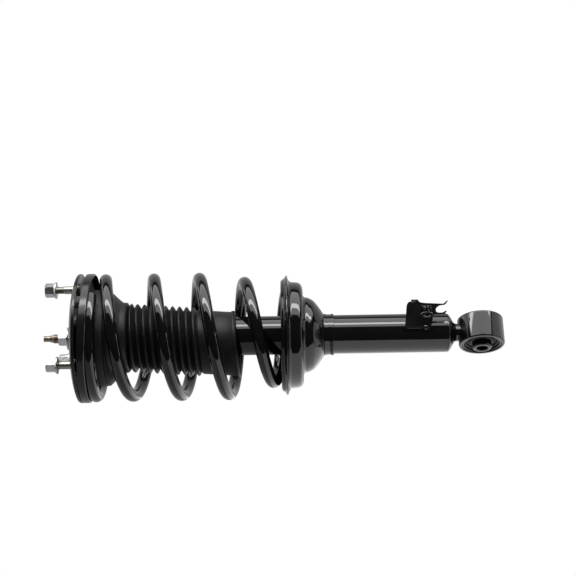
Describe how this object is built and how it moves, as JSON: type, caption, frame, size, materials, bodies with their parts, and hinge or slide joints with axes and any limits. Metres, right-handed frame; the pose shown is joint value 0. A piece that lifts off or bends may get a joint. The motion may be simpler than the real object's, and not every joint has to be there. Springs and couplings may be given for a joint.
{
  "type": "coil-over strut",
  "caption": "Vehicle coil-over strut: studded top mount, black coil spring over a bellows boot, twin-tube damper with spring seat, hose bracket and a bushed lower eye.",
  "frame": {"origin": "centre of the stud circle, on the upper mount's seating face", "axes": "+Z along the strut axis towards the body, so the damper hangs down along -Z; +X along the lower eye's pin axis"},
  "size_m": [0.1664, 0.1664, 0.593],
  "materials": {
    "black_paint": "gloss black powder coat",
    "satin_paint": "satin black e-coat on pressed steel",
    "zinc": "bright zinc plating",
    "olive_zinc": "dull yellow-grey zinc plating",
    "rod_chrome": "ground hard chrome",
    "black_rubber": "matt black rubber",
    "boot_rubber": "satin black moulded rubber",
    "foam": "cellular polyurethane",
    "bare_steel": "bare machined steel",
    "sintered": "sintered steel",
    "bearing": "lined bronze bush",
    "polymer": "filled polymer"
  },
  "bodies": {
    "upper_mount": {"mount_plate": "satin_paint", "mount_studs": "olive_zinc", "stud_nuts": "zinc", "mount_cup": "satin_paint", "mount_rubber": "black_rubber", "mount_inner_sleeve": "zinc", "rod_washer": "zinc", "stop_washer": "zinc", "rod_nut": "zinc", "upper_spring_seat": "satin_paint", "upper_insulator": "black_rubber", "coil_spring": "black_paint", "dust_boot": "boot_rubber", "bump_stop_cup": "satin_paint", "bump_stop": "foam", "piston_rod": "rod_chrome", "rebound_stop": "polymer", "valve_shims": "bare_steel", "piston": "sintered", "piston_band": "polymer", "piston_nut": "bare_steel"},
    "damper_body": {"reserve_tube": "black_paint", "top_cap": "black_paint", "rod_seal": "black_rubber", "rod_guide": "sintered", "guide_bush": "bearing", "pressure_tube": "bare_steel", "foot_valve": "sintered", "base_cap": "black_paint", "lower_spring_seat": "black_paint", "seat_dome": "black_paint", "seat_ring": "black_paint", "lower_insulator": "black_rubber", "lower_eye": "black_paint", "eye_neck": "black_paint", "bush_outer_sleeve": "black_paint", "bush_rubber": "black_rubber", "hose_bracket": "black_paint", "bracket_clip": "polymer", "bracket_pin": "black_paint"},
    "bush_sleeve": {"bush_inner_sleeve": "black_paint"}
  },
  "joints": [
    {"name": "damper_stroke", "type": "slide", "parent": "upper_mount", "child": "damper_body", "axis": [0, 0, 1], "range_m": [0, 0.11], "stiffness_N_per_m": 43500, "springref_m": -0.085, "deforming": ["coil_spring", "dust_boot", "bump_stop"]},
    {"name": "bush_twist", "type": "hinge", "parent": "damper_body", "child": "bush_sleeve", "pos_m": [0, 0, -0.521], "axis": [1, 0, 0], "range_deg": [-15, 15], "stiffness_Nm_per_rad": 60}
  ]
}
